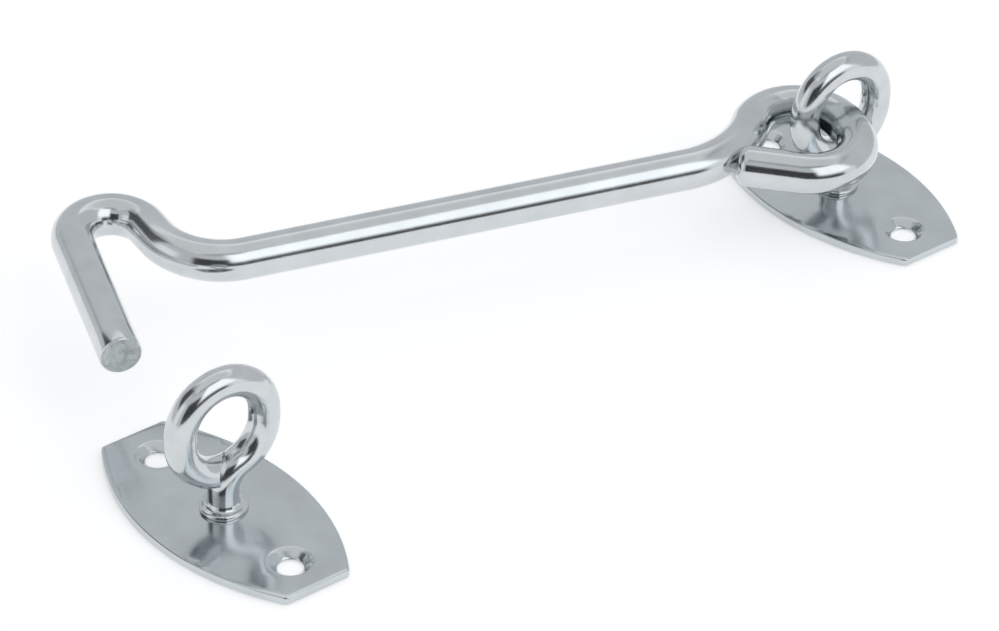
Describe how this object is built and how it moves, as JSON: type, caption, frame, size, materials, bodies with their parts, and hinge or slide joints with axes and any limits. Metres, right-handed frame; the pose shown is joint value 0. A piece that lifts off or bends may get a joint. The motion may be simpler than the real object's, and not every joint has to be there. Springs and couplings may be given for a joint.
{
  "type": "hook and eye latch",
  "caption": "Hook and eye latch: a bent round rod hook hung by its loop from an eye on a pointed oval plate, with a matching eye and plate that its leg drops through",
  "frame": {"origin": "centre of the pivot plate's underside, on the surface it is screwed to", "axes": "+Z out of the mounting surface; +X from the pivot plate towards the catch plate; +Y along both plates, through their screw holes"},
  "size_m": [0.1848, 0.0969, 0.0307],
  "materials": {
    "pivot_plate": "bright zinc plating, satin, slightly blotchy",
    "pivot_eye": "bright zinc plating, glossy",
    "hook_arm": "bright zinc plating, glossy, with a rough cut end",
    "catch_plate": "bright zinc plating, satin, slightly blotchy",
    "catch_eye": "bright zinc plating, glossy"
  },
  "bodies": {
    "base": {"pivot_plate": "pivot_plate", "pivot_eye": "pivot_eye", "catch_plate": "catch_plate", "catch_eye": "catch_eye"},
    "arm": {"hook_arm": "hook_arm"}
  },
  "joints": [
    {"name": "arm_swing", "type": "hinge", "parent": "base", "child": "arm", "pos_m": [0.0103, 0.0006, 0.017], "axis": [0, 0, 1], "range_deg": [-90, 15]}
  ]
}
